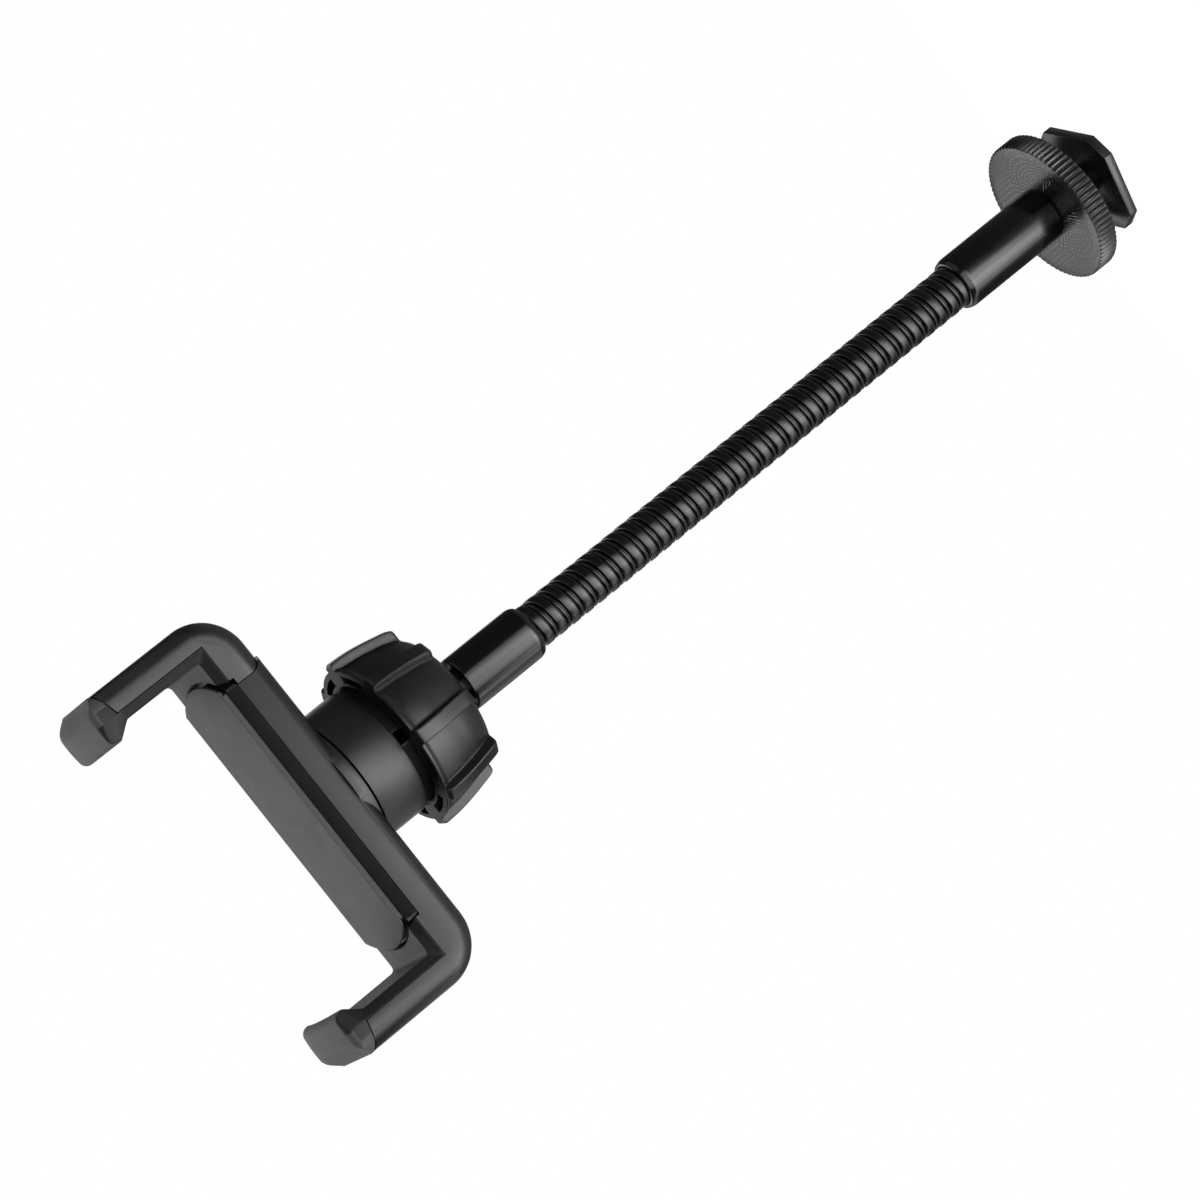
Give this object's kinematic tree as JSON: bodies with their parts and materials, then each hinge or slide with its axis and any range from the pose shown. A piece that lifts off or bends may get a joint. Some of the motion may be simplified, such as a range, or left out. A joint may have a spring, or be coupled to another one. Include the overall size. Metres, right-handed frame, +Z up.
{
  "type": "gooseneck phone clamp",
  "caption": "Spring-jaw phone clamp on a ball joint and a bendable gooseneck, with a camera accessory-shoe foot and knurled lock nut.",
  "frame": {"origin": "centre of the shoe foot's underside", "axes": "+Z up along the straight neck from the foot to the clamp, +X along the clamp's bar towards the sliding jaw, the phone rests facing +Z"},
  "size_m": [0.0728, 0.0326, 0.2067],
  "materials": {
    "foot_metal": "satin black",
    "knurled_metal": "gloss black",
    "ferrule_metal": "gloss black",
    "neck_metal": "gloss black",
    "ball_metal": "gloss black",
    "nut_plastic": "semi-gloss",
    "socket_plastic": "fine matt",
    "shell_plastic": "fine matt",
    "cover_plastic": "matt",
    "screw_metal": "satin black",
    "pad_rubber": "matt",
    "grip_rubber": "matt",
    "spring_metal": "plain"
  },
  "bodies": {
    "foot": {"shoe_plate": "foot_metal", "foot_stud": "foot_metal", "lower_ferrule": "ferrule_metal", "neck_root": "neck_metal"},
    "lock_nut": {"lock_nut": "knurled_metal"},
    "link_01": {"neck_link_01": "neck_metal"},
    "link_02": {"neck_link_02": "neck_metal"},
    "link_03": {"neck_link_03": "neck_metal"},
    "link_04": {"neck_link_04": "neck_metal"},
    "link_05": {"neck_link_05": "neck_metal"},
    "link_06": {"neck_link_06": "neck_metal"},
    "link_07": {"neck_link_07": "neck_metal"},
    "link_08": {"neck_link_08": "neck_metal"},
    "link_09": {"neck_link_09": "neck_metal"},
    "link_10": {"neck_link_10": "neck_metal"},
    "link_11": {"neck_link_11": "neck_metal"},
    "link_12": {"neck_link_12": "neck_metal"},
    "link_13": {"neck_link_13": "neck_metal"},
    "link_14": {"neck_link_14": "neck_metal"},
    "link_15": {"neck_link_15": "neck_metal"},
    "neck_top": {"neck_head": "neck_metal", "upper_ferrule": "ferrule_metal", "ball_stud": "ferrule_metal"},
    "ball": {"ball": "ball_metal"},
    "ring_nut": {"ring_nut": "nut_plastic"},
    "clamp": {"socket": "socket_plastic", "socket_screws": "screw_metal", "back_shell": "shell_plastic", "front_cover": "cover_plastic", "cover_screws": "screw_metal", "pad": "pad_rubber", "fixed_liner": "grip_rubber", "jaw_spring": "spring_metal"},
    "jaw": {"jaw": "shell_plastic", "jaw_liner": "grip_rubber"}
  },
  "joints": [
    {"name": "lock_nut_turn", "type": "hinge", "parent": "foot", "child": "lock_nut", "pos_m": [0, 0, 0.0098], "axis": [0, 0, 1], "continuous": true},
    {"name": "neck_lower_x", "type": "hinge", "parent": "foot", "child": "link_01", "pos_m": [0, 0, 0.03921], "axis": [1, 0, 0], "range_deg": [-12, 12]},
    {"name": "neck_lower_y", "type": "hinge", "parent": "link_01", "child": "link_02", "pos_m": [0, 0, 0.04518], "axis": [0, 1, 0], "range_deg": [-12, 12]},
    {"name": "neck_lower_x_2", "type": "hinge", "parent": "link_02", "child": "link_03", "pos_m": [0, 0, 0.05115], "axis": [1, 0, 0], "range_deg": [-12, 12]},
    {"name": "neck_lower_y_2", "type": "hinge", "parent": "link_03", "child": "link_04", "pos_m": [0, 0, 0.05711], "axis": [0, 1, 0], "range_deg": [-12, 12]},
    {"name": "neck_lower_x_3", "type": "hinge", "parent": "link_04", "child": "link_05", "pos_m": [0, 0, 0.06308], "axis": [1, 0, 0], "range_deg": [-12, 12]},
    {"name": "neck_lower_y_3", "type": "hinge", "parent": "link_05", "child": "link_06", "pos_m": [0, 0, 0.06905], "axis": [0, 1, 0], "range_deg": [-12, 12]},
    {"name": "neck_lower_x_4", "type": "hinge", "parent": "link_06", "child": "link_07", "pos_m": [0, 0, 0.07502], "axis": [1, 0, 0], "range_deg": [-12, 12]},
    {"name": "neck_lower_y_4", "type": "hinge", "parent": "link_07", "child": "link_08", "pos_m": [0, 0, 0.08099], "axis": [0, 1, 0], "range_deg": [-12, 12]},
    {"name": "neck_upper_x", "type": "hinge", "parent": "link_08", "child": "link_09", "pos_m": [0, 0, 0.08695], "axis": [1, 0, 0], "range_deg": [-12, 12]},
    {"name": "neck_upper_y", "type": "hinge", "parent": "link_09", "child": "link_10", "pos_m": [0, 0, 0.09292], "axis": [0, 1, 0], "range_deg": [-12, 12]},
    {"name": "neck_upper_x_2", "type": "hinge", "parent": "link_10", "child": "link_11", "pos_m": [0, 0, 0.09889], "axis": [1, 0, 0], "range_deg": [-12, 12]},
    {"name": "neck_upper_y_2", "type": "hinge", "parent": "link_11", "child": "link_12", "pos_m": [0, 0, 0.10486], "axis": [0, 1, 0], "range_deg": [-12, 12]},
    {"name": "neck_upper_x_3", "type": "hinge", "parent": "link_12", "child": "link_13", "pos_m": [0, 0, 0.11083], "axis": [1, 0, 0], "range_deg": [-12, 12]},
    {"name": "neck_upper_y_3", "type": "hinge", "parent": "link_13", "child": "link_14", "pos_m": [0, 0, 0.11679], "axis": [0, 1, 0], "range_deg": [-12, 12]},
    {"name": "neck_upper_x_4", "type": "hinge", "parent": "link_14", "child": "link_15", "pos_m": [0, 0, 0.12276], "axis": [1, 0, 0], "range_deg": [-12, 12]},
    {"name": "neck_upper_y_4", "type": "hinge", "parent": "link_15", "child": "neck_top", "pos_m": [0, 0, 0.12873], "axis": [0, 1, 0], "range_deg": [-12, 12]},
    {"name": "ball_pan", "type": "hinge", "parent": "neck_top", "child": "ball", "pos_m": [0, 0, 0.1589], "axis": [0, 0, 1], "continuous": true},
    {"name": "ball_tilt", "type": "hinge", "parent": "ball", "child": "ring_nut", "pos_m": [0, 0, 0.1589], "axis": [1, 0, 0], "range_deg": [-25, 25]},
    {"name": "clamp_spin", "type": "hinge", "parent": "ring_nut", "child": "clamp", "pos_m": [0, 0, 0.1589], "axis": [0, 0, 1], "continuous": true},
    {"name": "jaw_slide", "type": "slide", "parent": "clamp", "child": "jaw", "axis": [1, 0, 0], "range_m": [0, 0.026], "stiffness_N_per_m": 150, "springref_m": -0.03, "deforming": ["jaw_spring"]}
  ],
  "couplings": [
    {"joint": "neck_lower_x_2", "follows": "neck_lower_x", "ratio": 1},
    {"joint": "neck_lower_y_2", "follows": "neck_lower_y", "ratio": 1},
    {"joint": "neck_lower_x_3", "follows": "neck_lower_x", "ratio": 1},
    {"joint": "neck_lower_y_3", "follows": "neck_lower_y", "ratio": 1},
    {"joint": "neck_lower_x_4", "follows": "neck_lower_x", "ratio": 1},
    {"joint": "neck_lower_y_4", "follows": "neck_lower_y", "ratio": 1},
    {"joint": "neck_upper_x_2", "follows": "neck_upper_x", "ratio": 1},
    {"joint": "neck_upper_y_2", "follows": "neck_upper_y", "ratio": 1},
    {"joint": "neck_upper_x_3", "follows": "neck_upper_x", "ratio": 1},
    {"joint": "neck_upper_y_3", "follows": "neck_upper_y", "ratio": 1},
    {"joint": "neck_upper_x_4", "follows": "neck_upper_x", "ratio": 1},
    {"joint": "neck_upper_y_4", "follows": "neck_upper_y", "ratio": 1}
  ]
}
